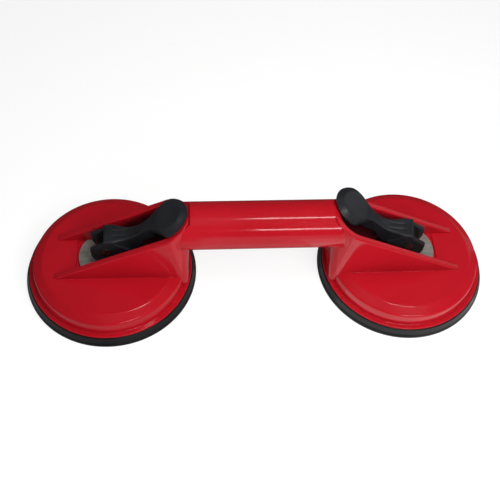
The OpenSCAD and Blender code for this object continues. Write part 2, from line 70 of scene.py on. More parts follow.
# corners are (r, z, radius): each is cut back and bridged by an arc of that radius
def roundedLine(corners, steps=6):
    line = []
    for i, (r, z, radius) in enumerate(corners):
        here = np.array([r, z], float)
        if radius == 0:
            line.append(here[None])
            continue
        back = np.array(corners[i - 1][:2]) - here
        ahead = np.array(corners[i + 1][:2]) - here
        back = back / np.linalg.norm(back)
        ahead = ahead / np.linalg.norm(ahead)
        half = 0.5 * math.acos(float(back @ ahead))
        middle = here + (back + ahead) / np.linalg.norm(back + ahead) * radius / math.sin(half)
        start = here + back * radius / math.tan(half) - middle
        end = here + ahead * radius / math.tan(half) - middle
        turn = math.pi - 2 * half
        t = np.linspace(0, 1, steps + 1)[:, None]
        line.append(middle + (np.sin((1 - t) * turn) * start + np.sin(t * turn) * end) / math.sin(turn))
    return np.concatenate(line)


# quads of a grid of points, each joined to its neighbours along its row and its column
def shell(points, closeRows=False, closeCols=False):
    rows, cols = points.shape[:2]
    i = np.arange(rows if closeRows else rows - 1)[:, None]
    j = np.arange(cols if closeCols else cols - 1)[None, :]
    ni, nj = (i + 1) % rows, (j + 1) % cols
    quads = [i * cols + j, i * cols + nj, ni * cols + nj, ni * cols + j]
    return points.reshape(-1, 3), np.stack(quads, axis=-1).reshape(-1, 4)


# from a cup's own frame, with +x towards the grip, into the frame of the whole part
def onCup(shells, side, swing=0.0):
    c, s = math.cos(math.radians(swing)), math.sin(math.radians(swing))
    placed = []
    for p, quads in shells:
        x = p[:, 0] * c - p[:, 1] * s
        y = p[:, 0] * s + p[:, 1] * c
        placed.append((np.column_stack([side * (cupAxis - x), y, p[:, 2]]), quads))
    return placed


def putPiece(name, shells, material, sharpAngle=smoothUpTo):
    starts = np.cumsum([0] + [len(p) for p, quads in shells[:-1]])
    points = np.concatenate([p for p, quads in shells]) * mm
    faces = np.concatenate([quads + start for (p, quads), start in zip(shells, starts)])
    mesh = bpy.data.meshes.new(name)
    mesh.from_pydata(points.tolist(), [], faces.tolist())
    work = bmesh.new()
    work.from_mesh(mesh)
    bmesh.ops.remove_doubles(work, verts=work.verts, dist=weldDistance)
    bmesh.ops.dissolve_degenerate(work, edges=work.edges, dist=sliverDistance)
    bmesh.ops.recalc_face_normals(work, faces=work.faces)
    work.to_mesh(mesh)
    work.free()
    mesh.shade_smooth()
    mesh.set_sharp_from_angle(angle=math.radians(sharpAngle))
    mesh.materials.append(material)
    piece = bpy.data.objects.new(name, mesh)
    bpy.context.scene.collection.objects.link(piece)
    soften = piece.modifiers.new("evenNormals", "WEIGHTED_NORMAL")
    soften.keep_sharp = True
    print("made", name, len(mesh.polygons), "faces")
    return piece


def meshPoints(piece):  # in mm, one row for each vertex
    points = np.zeros(len(piece.data.vertices) * 3)
    piece.data.vertices.foreach_get("co", points)
    return points.reshape(-1, 3) / mm


# three axes as columns and a place, as one matrix
def poseMatrix(axes, place):
    return Matrix([[*row, p] for row, p in zip(axes, place)] + [[0, 0, 0, 1]])


# finishes

def startMaterial(name):
    material = bpy.data.materials.new(name)
    material.use_nodes = True
    nodes = material.node_tree.nodes
    return material, nodes, material.node_tree.links, nodes["Principled BSDF"]


def objectNoise(nodes, links, scale, detail, stretch):
    place = nodes.new("ShaderNodeTexCoord")
    noise = nodes.new("ShaderNodeTexNoise")
    noise.inputs["Scale"].default_value = scale
    noise.inputs["Detail"].default_value = detail
    if stretch:
        turn = nodes.new("ShaderNodeMapping")
        turn.inputs["Scale"].default_value = stretch
        links.new(place.outputs["Object"], turn.inputs["Vector"])
        links.new(turn.outputs["Vector"], noise.inputs["Vector"])
    else:
        links.new(place.outputs["Object"], noise.inputs["Vector"])
    return noise.outputs["Fac"]


def blendColours(nodes, links, factor, low, high, start=0.35, end=0.65):
    ramp = nodes.new("ShaderNodeValToRGB")
    ramp.color_ramp.elements[0].position = start
    ramp.color_ramp.elements[1].position = end
    ramp.color_ramp.elements[0].color = (*low, 1)
    ramp.color_ramp.elements[1].color = (*high, 1)
    links.new(factor, ramp.inputs["Fac"])
    return ramp.outputs["Color"]


def spread(nodes, links, factor, low, high, start=0.3, end=0.7):
    span = nodes.new("ShaderNodeMapRange")
    span.inputs["From Min"].default_value = start
    span.inputs["From Max"].default_value = end
    span.inputs["To Min"].default_value = low
    span.inputs["To Max"].default_value = high
    links.new(factor, span.inputs["Value"])
    return span.outputs["Result"]


def addBump(nodes, links, shader, height, strength, distance):
    bump = nodes.new("ShaderNodeBump")
    bump.inputs["Strength"].default_value = strength
    bump.inputs["Distance"].default_value = distance
    links.new(height, bump.inputs["Height"])
    links.new(bump.outputs["Normal"], shader.inputs["Normal"])


# painted shade: a darker, duller finish deep in each channel under its lever and on the end of each cam
# plate under it, standing in for the shadow there
paintedShadeSettings = {
    "rough": 0.65,
    "plateFrom": 0.097, "plateFull": 0.091,  # along a cam plate, metres from the middle of the part
    "skip": 1.5, "depth": 6.0,  # below the rim of a channel, mm
    "startX": 4.0, "run": 10.0,  # from the cup's axis towards the grip, mm
    "reach": 0.4,  # how far behind the channel's wall a point still counts, mm
}


# painted shade read from the piece's own attribute: the channel under each lever
def paintedShadeFromMesh(nodes, links):  # the piece's own attribute
    paintedShadeMask = nodes.new("ShaderNodeAttribute")
    paintedShadeMask.attribute_name = "paintedShade"
    return paintedShadeMask.outputs["Fac"]


# painted shade on each cam plate, darkest at its end towards the grip, under the lever, standing in for
# the lever's shadow
def paintedShadeUnderLever(nodes, links):  # grows from the cup's axis towards the middle of the part
    place = nodes.new("ShaderNodeTexCoord")
    parts = nodes.new("ShaderNodeSeparateXYZ")
    away = nodes.new("ShaderNodeMath")
    away.operation = "ABSOLUTE"
    span = nodes.new("ShaderNodeMapRange")
    span.inputs["From Min"].default_value = paintedShadeSettings["plateFrom"]
    span.inputs["From Max"].default_value = paintedShadeSettings["plateFull"]
    links.new(place.outputs["Object"], parts.inputs[0])
    links.new(parts.outputs["X"], away.inputs[0])
    links.new(away.outputs[0], span.inputs["Value"])
    return span.outputs["Result"]


patchDetail, grainDetail = 4.0, 2.0


# one finish: colour wanders between two tones and roughness between two values, over a fine bump,
# and painted shade darkens the colour and raises the roughness where its own factor says
def makeFinish(name, low, high, rough, patch, grain, bump, metal=0.0, stretch=None,
               paintedShade=None, paintedShadeFactor=None, **sockets):
    material, nodes, links, shader = startMaterial(name)
    wander = objectNoise(nodes, links, patch, patchDetail, stretch)
    fine = objectNoise(nodes, links, grain, grainDetail, stretch)
    colour = blendColours(nodes, links, wander, low, high)
    roughness = spread(nodes, links, wander, *rough)
    # painted shade: the colour is mixed towards a dark colour, and the roughness raised, as far as the
    # factor says
    if paintedShade:
        paintedShadeMask = paintedShadeFactor(nodes, links)
        darken = nodes.new("ShaderNodeMix")  # its colours are inputs 6 and 7, output 2
        darken.data_type = "RGBA"
        links.new(paintedShadeMask, darken.inputs[0])
        links.new(colour, darken.inputs[6])
        darken.inputs[7].default_value = (*paintedShade, 1)
        colour = darken.outputs[2]
        dull = nodes.new("ShaderNodeMix")  # its numbers are inputs 2 and 3, output 0
        links.new(paintedShadeMask, dull.inputs[0])
        links.new(roughness, dull.inputs[2])
        dull.inputs[3].default_value = paintedShadeSettings["rough"]
        roughness = dull.outputs[0]
    links.new(colour, shader.inputs["Base Color"])
    links.new(roughness, shader.inputs["Roughness"])
    addBump(nodes, links, shader, fine, *bump)
    shader.inputs["Metallic"].default_value = metal
    for socket, value in sockets.items():
        shader.inputs[socket.replace("_", " ")].default_value = value
    return material


# its last colour is painted shade deep in the channels under the levers
redCoat = makeFinish(
    "redCoat", (0.41, 0.006, 0.013), (0.45, 0.0075, 0.016), (0.08, 0.12),
    22.0, 700.0, (0.05, 0.0001), paintedShade=(0.055, 0.0035, 0.005), paintedShadeFactor=paintedShadeFromMesh,
)
leverPlastic = makeFinish(
    "leverPlastic", (0.012, 0.0125, 0.015), (0.018, 0.0185, 0.022), (0.3, 0.36),
    70.0, 2600.0, (0.06, 0.0001),
)
padRubber = makeFinish(
    "padRubber", (0.004, 0.004, 0.0046), (0.008, 0.008, 0.009), (0.3, 0.44),
    45.0, 1800.0, (0.1, 0.0001), Specular_IOR_Level=0.45,
)
platedSteel = makeFinish(
    "platedSteel", (0.5, 0.49, 0.46), (0.66, 0.65, 0.62), (0.24, 0.4),
    160.0, 1500.0, (0.1, 0.0001), metal=1.0,
)
# its last colour is painted shade on the end of each cam plate under its lever
camSteel = makeFinish(
    "camSteel", (0.31, 0.3, 0.265), (0.45, 0.44, 0.4), (0.36, 0.52),
    130.0, 1400.0, (0.12, 0.0001), metal=0.6, stretch=(1.0, 6.0, 1.0),
    paintedShade=(0.03, 0.028, 0.026), paintedShadeFactor=paintedShadeUnderLever,
)
darkSteel = makeFinish(
    "darkSteel", (0.03, 0.03, 0.032), (0.06, 0.06, 0.062), (0.35, 0.5),
    160.0, 1500.0, (0.1, 0.0001), metal=1.0,
)
bushNylon = makeFinish(
    "bushNylon", (0.66, 0.64, 0.56), (0.74, 0.72, 0.65), (0.4, 0.52),
    90.0, 1500.0, (0.08, 0.0001),
)
print("finishes made")

# casting

cup = {
    "flangeR": 56.1, "padTop": 7.4, "flangeTop": 8.6, "wallFootR": 53.0, "wallHeadR": 52.1,
    "creaseR": 45.7, "shoulderZ": 17.6, "topZ": 20.9, "pocketZ": 19.5, "pocketX": 22.0,
    "pocketY": 13.5, "boreR": 9.05, "bossR": 11.45, "bossZ": 15.8, "ceilingZ": 17.0,
    "wallT": 3.9, "topT": 3.9, "ribs": 8, "ribT": 2.4, "ribH": 4.0, "ribFrom": 19.2, "flatR": 30.0,
    "creaseRound": 5.0, "shoulderRound": 3.0, "footRound": 0.6, "flangeRound": 0.5,
    "pocketPower": 28, "columns": 288,
}
cupOutside = roundedLine([
    (cup["flatR"], cup["topZ"], 0),
    (cup["creaseR"], cup["topZ"], cup["creaseRound"]),
    (cup["wallHeadR"], cup["shoulderZ"], cup["shoulderRound"]),
    (cup["wallFootR"], cup["flangeTop"], cup["footRound"]),
    (cup["flangeR"], cup["flangeTop"], cup["flangeRound"]),
    (cup["flangeR"], cup["padTop"], 0),
])


# rings about the axis: bore, oblong pocket, flat top, shoulder, wall, flange, then the hollow inside
def cupShell():
    turn = np.linspace(0, 2 * np.pi, cup["columns"], endpoint=False)
    c, s = np.cos(turn), np.sin(turn)

    def oblong(grow):  # distance from the axis to a rounded oblong, by angle
        power = cup["pocketPower"]
        alongX = np.abs(c) / (cup["pocketX"] + grow)
        alongY = np.abs(s) / (cup["pocketY"] + grow)
        return (alongX**power + alongY**power) ** (-1 / power)

    floor, top = cup["pocketZ"], cup["topZ"]
    rings = [  # distance from the axis and height; the pocket's foot and lip are rounded a little
        (cup["boreR"], floor), (oblong(-0.7), floor), (oblong(-0.2), floor + 0.15),
        (oblong(0.0), floor + 0.6), (oblong(0.0), top - 0.5), (oblong(0.15), top - 0.15),
        (oblong(0.5), top),
    ]
    rings += [(r, z) for r, z in cupOutside]
    rings += [
        (cup["wallFootR"] - cup["wallT"], cup["padTop"]),
        (cup["wallHeadR"] - cup["wallT"], cup["shoulderZ"] - cup["topT"]),
        (cup["creaseR"] - cup["wallT"] / 2, cup["ceilingZ"]),
        (cup["bossR"], cup["ceilingZ"]), (cup["bossR"], cup["bossZ"]), (cup["boreR"], cup["bossZ"]),
    ]
    points = np.stack([np.stack([r * c, r * s, np.full_like(c, z)], axis=-1) for r, z in rings])
    return shell(points, closeRows=True, closeCols=True)


housing = {
    "tailX": -36.5, "slope": 0.511351, "halfWidth": 18.0, "channelR": 13.5, "endX": 38.0,
    "footX": 48.5, "footY": 13.0, "footR": 5.0, "footZ": 8.0, "headZ": 69.2,
    "rimOut": 1.3, "rimIn": 1.0, "cove": 0.35, "floorDepth": 20.0, "stepX": 21.95,
    "flatTurn": 2.0, "stations": 64, "cornerStations": 30, "middleStations": 8, "levels": 400,
    "sink": 1.0, "tailOut": 0.4, "tailDrop": 0.8, "floorLap": 0.3, "floorT": 4.0,
}


def rimZ(x):  # height of the sloping rim
    return cup["topZ"] + (x - housing["tailX"]) * housing["slope"]


# a wall carried round the U of the housing: its outside is ruled from a square foot to a round head
def housingShell():
    h = housing
    t = np.linspace(0, 1, h["stations"], endpoint=False)
    corner = np.radians(np.linspace(90, h["flatTurn"], h["cornerStations"], endpoint=False))
    fade = np.linspace(1, 0, h["middleStations"])
    middle = np.radians(h["flatTurn"]) * fade
    phi = np.concatenate([np.full_like(t, np.pi / 2), corner, middle])
    straight = np.concatenate([1 - t, np.zeros(len(corner) + len(middle))])
    flat = np.concatenate([np.ones(len(t) + len(corner)), fade])
    fx = h["footX"] + h["footR"] * np.cos(phi) - straight * (h["footX"] - h["tailX"])
    fy = (h["footY"] + h["footR"] * np.sin(phi)) * flat
    hx = h["endX"] + h["halfWidth"] * np.cos(phi) - straight * (h["endX"] - h["tailX"])
    hy = h["halfWidth"] * np.sin(phi)
    ix = h["endX"] + h["channelR"] * np.cos(phi) - straight * (h["endX"] - h["tailX"])
    iy = h["channelR"] * np.sin(phi)
    nx, ny = np.cos(phi), np.sin(phi)

    def roundTheEnd(a, sign):
        return np.concatenate([a, sign * a[-2::-1]])

    fx, hx, ix, nx = (roundTheEnd(a, 1) for a in (fx, hx, ix, nx))
    fy, hy, iy, ny = (roundTheEnd(a, -1) for a in (fy, hy, iy, ny))
    span = h["headZ"] - h["footZ"]

    def wallAt(z):  # plan of the sloping outside at a height
        k = (z - h["footZ"]) / span
        return fx + (hx - fx) * k, fy + (hy - fy) * k

    lean = (hx - fx) / span
    rim = rimZ(fx - lean * h["footZ"]) / (1 - h["slope"] * lean)
    levels = rim + (h["footZ"] - 0.3 - rim) * np.linspace(0, 1, h["levels"])[:, None]
    lx, ly = wallAt(levels)
    over = levels - np.interp(np.hypot(lx, ly), cupOutside[:, 0], cupOutside[:, 1])
    first = np.argmax(over < 0, axis=0)
    foot = np.take_along_axis(levels, first[None], axis=0)[0]  # where the wall dips into the cup
    fit = np.clip((rim - foot) / (h["cove"] + h["rimOut"] + 0.6), 0.03, 1.0)  # low walls round less
    cove, rimOut, rimIn = h["cove"] * fit, h["rimOut"] * fit, h["rimIn"] * fit
    rows = []

    def wallRow(z, out):
        x, y = wallAt(z)
        rows.append(np.stack([x + nx * out, y + ny * out, z], axis=-1))

    def rimRow(x, y, drop):
        rows.append(np.stack([x, y, rimZ(x) - drop], axis=-1))

    wallRow(foot - h["sink"], cove)
    for a in np.radians(np.linspace(0, 90, 7)):
        wallRow(foot + cove * (1 - math.cos(a)), cove * (1 - math.sin(a)))
    for k in (0.2, 0.4, 0.6, 0.8):
        wallRow(foot + cove + (rim - rimOut - foot - cove) * k, 0.0)
    ox, oy = wallAt(rim)
    for a in np.radians(np.linspace(0, 90, 8)):
        inset = rimOut * (1 - math.cos(a))
        rimRow(ox - nx * inset, oy - ny * inset, rimOut * (1 - math.sin(a)))
    for a in np.radians(np.linspace(90, 0, 7)):
        inset = rimIn * (1 - math.cos(a))
        rimRow(ix + nx * inset, iy + ny * inset, rimIn * (1 - math.sin(a)))
    behindStep = ix > h["stepX"] + 2
    low = np.where(behindStep, rimZ(ix) - h["floorDepth"], cup["pocketZ"]) - h["sink"]
    for k in (0.12, 0.3, 0.55, 1.0):
        rows.append(np.stack([ix, iy, rimZ(ix) - rimIn + (low - rimZ(ix) + rimIn) * k], axis=-1))
    points = np.stack(rows)
    wallMiddle = 0.5 * (h["halfWidth"] + h["channelR"])
    tail = np.array([h["tailX"] - h["tailOut"], wallMiddle, cup["topZ"] - h["tailDrop"]])
    start = np.broadcast_to(tail, (len(rows), 1, 3))
    end = start * np.array([1, -1, 1])
    return shell(np.concatenate([start, points, end], axis=1), closeRows=True)


# sloping floor of the channel under the lever, from the step behind the cam plate to the round end
def channelFloorShell():
    h = housing
    lap = h["channelR"] + h["floorLap"]
    reach = h["endX"] + lap
    x = h["stepX"] + (reach - h["stepX"]) * np.sin(np.linspace(0, np.pi / 2, 40))
    x = np.concatenate([x[:1], x])
    half = np.sqrt(np.maximum(lap**2 - np.maximum(x - h["endX"], 0) ** 2, 0))
    across = np.linspace(-1, 1, 13)[:, None]
    top = rimZ(x) - h["floorDepth"]
    low = np.where(x < h["stepX"] + 1, cup["pocketZ"] - h["sink"], top - h["floorT"])
    top[0] = low[0] = 0.5 * (top[1] + low[1])
    upper = np.stack(np.broadcast_arrays(x, across * half, top), axis=-1)
    lower = np.stack(np.broadcast_arrays(x, -across * half, low), axis=-1)
    return shell(np.concatenate([upper, lower]), closeRows=True)


grip = {
    "radius": 15.9, "axisZ": 54.5, "coreR": 11.9, "mouth": 8.0, "webSetback": 3.0,
    "coreEnd": 41.5, "cells": 4, "cell": 18.8, "web": 2.6, "fillet": 0.9, "filletRun": 3.0,
    "rimGap": 0.6, "ledge": 0.5, "tuck": 0.4, "capIn": 4.0, "capDepth": 2.3,
}


# a closed section carried along the grip: full round at the ends, cored from below in between
def gripShell():
    g, h = grip, housing
    edge = math.asin(g["mouth"] / g["radius"])
    outside = np.linspace(edge - np.pi / 2, 1.5 * np.pi - edge, 120)
    below = np.linspace(1.5 * np.pi - edge, 1.5 * np.pi + edge, 27)[1:-1]
    around = np.concatenate([outside, below])
    mouthZ = -math.sqrt(g["radius"] ** 2 - g["mouth"] ** 2)
    roofZ = math.sqrt(g["coreR"] ** 2 - g["mouth"] ** 2)
    y = np.concatenate([np.full(7, -g["mouth"]), np.linspace(-g["mouth"], g["mouth"], 13)[1:-1],
                        np.full(7, g["mouth"])])
    rise = np.concatenate([np.linspace(0, 1, 8)[1:], np.ones(11), np.linspace(1, 0, 8)[:-1]])
    arch = np.sqrt(g["coreR"] ** 2 - y**2)
    cellZ = np.where(np.abs(y) < g["mouth"] - 0.01, arch, mouthZ + (roofZ - mouthZ) * rise)
    webZ = mouthZ + g["webSetback"] * rise
    outerY, outerZ = g["radius"] * np.cos(outside), g["radius"] * np.sin(outside)
    roundSection = (g["radius"] * np.cos(around), g["radius"] * np.sin(around))
    cellSection = (np.concatenate([outerY, y]), np.concatenate([outerZ, cellZ]))
    webSection = (np.concatenate([outerY, y]), np.concatenate([outerZ, webZ]))

    # where each line along the grip runs into the housing's round end or stops at its rim
    def wallX(y, z):
        k = (z - h["footZ"]) / (h["headZ"] - h["footZ"])
        bend = h["footR"] + (h["halfWidth"] - h["footR"]) * k
        past = np.clip((np.abs(y) - h["footY"] * (1 - k)) / bend, 0, 1)
        return h["footX"] + (h["endX"] - h["footX"]) * k + bend * np.sqrt(1 - past**2)

    c, s = np.cos(around), np.sin(around)
    gripZ = g["axisZ"] + g["radius"] * s
    meet = wallX(g["radius"] * c, gripZ)
    underRim = h["tailX"] + (gripZ + g["ledge"] - cup["topZ"]) / h["slope"]
    stop = np.minimum(np.maximum(meet, underRim), h["endX"] + h["halfWidth"])
    fillet = g["fillet"] * ease((rimZ(meet) - gripZ - g["rimGap"]) / g["filletRun"])
    wide = g["radius"] + fillet
    start = np.where(fillet > 0.01, wallX(wide * c, g["axisZ"] + wide * s), stop)

    def endRow(x, r, top=np.inf):
        return np.stack([x, r * c, np.minimum(g["axisZ"] + r * s, top)], axis=-1)

    hidden = meet - g["tuck"]
    belowRim = rimZ(hidden) - h["rimOut"]
    ends = [endRow(hidden, g["radius"] - g["capIn"]), endRow(hidden, wide - 0.2, belowRim)]
    for a in np.radians(np.linspace(0, 90, 7)):
        x = start + (stop + fillet + 0.2 - start) * (1 - math.cos(a))
        ends.append(endRow(x, g["radius"] + fillet * (1 - math.sin(a))))
    ends = np.stack(ends)
    leftEnd = ends - np.array([cupAxis, 0, 0])
    rightEnd = (ends * np.array([-1, 1, 1]) + np.array([cupAxis, 0, 0]))[::-1]

    def station(x, section):
        return np.stack([np.full_like(section[0], x), section[0], section[1] + g["axisZ"]], axis=-1)

    rows = [station(-g["coreEnd"], roundSection)]
    pitch = g["cell"] + g["web"]
    for i in range(g["cells"]):
        x = -g["coreEnd"] + i * pitch
        rows += [station(x, cellSection), station(x + g["cell"], cellSection)]
        if i < g["cells"] - 1:
            rows += [station(x + g["cell"], webSection), station(x + pitch, webSection)]
    rows.append(station(g["coreEnd"], roundSection))
    points = np.concatenate([leftEnd, np.stack(rows), rightEnd])
    core = cupAxis - h["endX"] - h["halfWidth"] + g["capDepth"]
    first, last = np.array([-core, 0, g["axisZ"]]), np.array([core, 0, g["axisZ"]])
    first, last = (np.broadcast_to(p, (1,) + points.shape[1:]) for p in (first, last))
    return shell(np.concatenate([first, points, last]), closeCols=True)


# stiffening ribs under the cup's top: upright slabs set round the axis
def ribShells():
    half = np.array([-0.5, 0.5]) * cup["ribT"]
    reach = [cup["ribFrom"], cup["creaseR"] - cup["wallT"] / 2]
    low, high = cup["ceilingZ"] - cup["ribH"], cup["ceilingZ"] + 0.3
    section = np.array([[half[0], low], [half[1], low], [half[1], high], [half[0], high]])
    ends = [np.column_stack([np.full(4, x), section]) for x in reach]
    caps = [np.broadcast_to(end.mean(axis=0), end.shape) for end in ends]
    slab = np.stack([caps[0], *ends, caps[1]])
    shells = []
    for turn in 2 * np.pi * (np.arange(cup["ribs"]) + 0.5) / cup["ribs"]:
        x = slab[..., 0] * math.cos(turn) - slab[..., 1] * math.sin(turn)
        y = slab[..., 0] * math.sin(turn) + slab[..., 1] * math.cos(turn)
        shells.append(shell(np.stack([x, y, slab[..., 2]], axis=-1), closeCols=True))
    return shells


castShells = [gripShell()]
for side in (left, right):
    castShells += onCup([cupShell(), housingShell(), channelFloorShell(), *ribShells()], side)
castBody = putPiece("castBody", castShells, redCoat)

# painted shade: the channel under each lever is darkened and dulled, more the deeper below its rim,
# standing in for the shadow there
castPoints = meshPoints(castBody)
castZ = castPoints[:, 2]
fromCup = cupAxis - np.abs(castPoints[:, 0])  # towards the grip
fromMiddle = np.hypot(np.maximum(fromCup - housing["endX"], 0), castPoints[:, 1])
channelReach = housing["channelR"] + paintedShadeSettings["reach"]
inChannel = (fromMiddle < channelReach) & (fromCup < housing["endX"] + channelReach)
byDepth = ease((rimZ(fromCup) - castZ - paintedShadeSettings["skip"]) / paintedShadeSettings["depth"])
deep = byDepth * ease((fromCup - paintedShadeSettings["startX"]) / paintedShadeSettings["run"])
paintedShadeMask = castBody.data.attributes.new("paintedShade", "FLOAT", "POINT")
paintedShadeMask.data.foreach_set("value", np.where(inChannel & (castZ > cup["ceilingZ"]), deep, 0.0))
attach(castBody, "casting")
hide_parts("body")

# levers

lever = {
    "pinZ": 36.5, "pinR": 3.0, "swing": 9.0,
    "bridgeX": -1.2, "bridgeHalf": 7.5, "bridgeTop": 47.8, "bridgeBlend": 0.8,
    "slotHalf": 4.6, "slotRoof": 44.3, "slotLap": 0.05, "headR": 7.8, "cheekDrop": 2.5,
    "neckHalf": 4.25, "waistX": 25.0, "waistR": 62.0, "neckOver": 0.7, "neckDrop": 3.5, "neckRun": 5.0,
    "flareX": 29.8, "flareAngle": 43.0, "flareR": 12.0, "riseX": 19.0, "riseRun": 17.0,
    "thumbOver": 5.9, "thumbHalf": 15.5, "thumbX": 39.0, "tipX": 54.5, "thumbGap": 1.2,
    "thumbEdge": 1.6, "tipFall": 0.8, "tipRun": 9.0, "padFrom": 36.0, "padRun": 7.0,
    "bevel": 5.0, "bevelSoft": 0.3, "edge": 0.9, "edgeDrop": 1.0, "underEdge": 0.35,
    "grooveY": 2.125, "grooveHalf": 0.7, "grooveDepth": 0.8,
    "grooveFrom": 4.0, "grooveIn": 2.0, "grooveTo": 28.0, "grooveOut": 4.0,
    "keelDepth": 8.0, "keelEnd": 44.0, "keelToe": 3.0, "keelLap": 3.0,
    "cells": 3, "cell": 3.133, "cellRib": 1.8, "cellHalf": 2.3, "cellSkin": 3.4,
    "heelX": 15.0, "heelTop": 1.5, "heelDrop": 6.0, "crownBackX": 3.9, "crownX": 2.0, "crownZ": 10.2,
    "noseX": -10.4, "noseTop": 2.8, "noseRound": 0.9, "heelRound": 0.8, "crownRound": 0.5,
    "camReach": 14.4, "camDrop": 4.0, "forkOut": 7.45, "forkEdge": 0.6,
}


# the higher of the bridge's flat top and a line over the rim that climbs to the thumb pad, blended
def leverTop(x):
    v = lever
    climb = ease((x - v["riseX"]) / v["riseRun"])
    along = rimZ(x) + v["neckOver"] + (v["thumbOver"] - v["neckOver"]) * climb
    fall = v["tipFall"] * np.maximum(0, (x - v["tipX"] + v["tipRun"]) / v["tipRun"]) ** 2
    level = v["bridgeTop"]
    return 0.5 * (along + level + np.sqrt((along - level) ** 2 + v["bridgeBlend"])) - fall


def waistHalf(x):  # half width of the neck between its two hollow sides
    v = lever
    return v["neckHalf"] + v["waistR"] - np.sqrt(v["waistR"] ** 2 - (x - v["waistX"]) ** 2)


# half outline of the thumb pad: a hollow, a straight side and the round tip,
# walked in even steps and averaged along the way, which rounds their corners
def thumbOutline():
    v = lever
    flare = math.radians(v["flareAngle"])
    x = np.linspace(v["waistX"] + 0.01, v["tipX"], 4000)
    start = v["flareX"] - v["flareR"] * math.tan(flare / 2)
    into = np.clip(x - start, 0, v["flareR"] * math.sin(flare))
    hollow = v["flareR"] - np.sqrt(v["flareR"] ** 2 - into**2)
    straight = v["neckHalf"] + np.maximum(hollow, (x - v["flareX"]) * math.tan(flare))
    tip = np.sqrt(np.maximum(v["thumbHalf"] ** 2 - np.maximum(x - v["thumbX"], 0) ** 2, 0))
    y = np.minimum(straight, tip)
    x, y = np.concatenate([x, x[::-1]]), np.concatenate([y, -y[::-1]])
    run = np.concatenate([[0], np.cumsum(np.hypot(np.diff(x), np.diff(y)))])
    half, reach = 400, 40  # steps from the waist to the tip, and to either side of the average
    even = np.linspace(0, run[-1], 2 * half + 1)
    weights = np.hanning(2 * reach + 1)
    weights = weights / weights.sum()

    def averaged(a):
        walked = np.interp(even, run, a)
        return np.convolve(np.pad(walked, reach, mode="reflect", reflect_type="odd"), weights, "valid")

    return averaged(x)[:half + 1:4], np.maximum(averaged(y)[:half + 1:4], 0)


def heelZ(x):  # underside between the fork and the waist
    v = lever
    low = v["pinZ"] - v["heelDrop"]
    return np.interp(x, [v["heelX"], v["waistX"]], [low, rimZ(v["waistX"]) - v["keelDepth"]])


# bridge, neck and thumb pad in one skin: from the outline in to the spine, over the top and underneath
def leverSkin():
    v = lever
    steps = [0, 0.12, 0.3, 0.6, 1.0, 1.6, 2.4, 3.2, 4.2, 5.4, 6.4, 7.2, 8.0, 8.98]
    block = np.array(steps) + v["bridgeX"]
    neck = np.linspace(v["headR"] + 0.01, v["waistX"], 24)
    narrow = np.concatenate([block, neck])
    padX, padY = thumbOutline()
    cx = np.concatenate([narrow, padX])
    cy = np.concatenate([np.minimum(waistHalf(narrow), v["bridgeHalf"]), padY])
    sx = np.minimum(cx, v["thumbX"])
    sx, cx = (np.concatenate([a[:1], a[:1], a, a[-2::-1], a[:1], a[:1]]) for a in (sx, cx))
    mouth = v["slotHalf"] + v["slotLap"]
    cy = np.concatenate([[0, mouth], cy, -cy[-2::-1], [-mouth, 0]])
    half = np.hypot(cx - sx, cy)
    inBlock = sx < v["headR"]
    inNeck = sx <= v["waistX"]
    rows = []

    def topRow(k):
        x, y = cx + (sx - cx) * k, cy * (1 - k)
        inset = np.minimum(half * k, np.where(inNeck, x - v["bridgeX"], np.inf))
        onPad = ease((cx - v["padFrom"]) / v["padRun"])
        bevel = v["edge"] + (v["bevel"] - v["edge"]) * onPad
        ridge = rimZ(x) + v["thumbGap"] + v["thumbEdge"]
        edgeZ = ridge * onPad + (leverTop(x) - v["edgeDrop"]) * (1 - onPad)
        lift = softRamp(inset, bevel, v["bevelSoft"])
        across = np.exp(-(((np.abs(y) - v["grooveY"]) / v["grooveHalf"]) ** 4))
        along = ease((x - v["grooveFrom"]) / v["grooveIn"]) * ease((v["grooveTo"] - x) / v["grooveOut"])
        z = edgeZ + (leverTop(x) - edgeZ) * lift - v["grooveDepth"] * across * along
        rows.append(np.stack([x, y, z], axis=-1))

    for k in np.concatenate([np.linspace(1, 0.36, 26), np.linspace(0.34, 0, 24)]):
        topRow(k)
    underBlock = v["slotRoof"] - np.where(half > mouth, v["cheekDrop"], 0)
    pastNeck = ease((cx - v["waistX"]) / v["neckRun"])
    underPad = rimZ(cx) + v["thumbGap"] - v["neckDrop"] * (1 - pastNeck)
    bottom = np.where(inNeck, np.where(inBlock, underBlock, heelZ(sx)), underPad)
    roof = np.where(inBlock, v["slotRoof"], bottom)
    rows.append(np.stack([cx, cy, bottom + 0.5], axis=-1))
    inward = v["underEdge"] / np.maximum(half, v["underEdge"])
    for share, rise in ((0.3, 0.15), (1.0, 0.0)):
        step = inward * share
        rows.append(np.stack([cx + (sx - cx) * step, cy * (1 - step), bottom + rise], axis=-1))
    jamb = np.where(inBlock, 1 - mouth / np.maximum(half, mouth), 0.5)
    jx, jy = cx + (sx - cx) * jamb, cy * (1 - jamb)
    tilt = np.where(inNeck, 0, rimZ(jx) - rimZ(cx))
    rows.append(np.stack([jx, jy, bottom + tilt], axis=-1))
    rows.append(np.stack([jx, jy, roof + tilt], axis=-1))
    tilt = np.where(inNeck, 0, rimZ(sx) - rimZ(cx))
    rows.append(np.stack([sx, np.zeros_like(sx), roof + tilt], axis=-1))
    return shell(np.stack(rows))


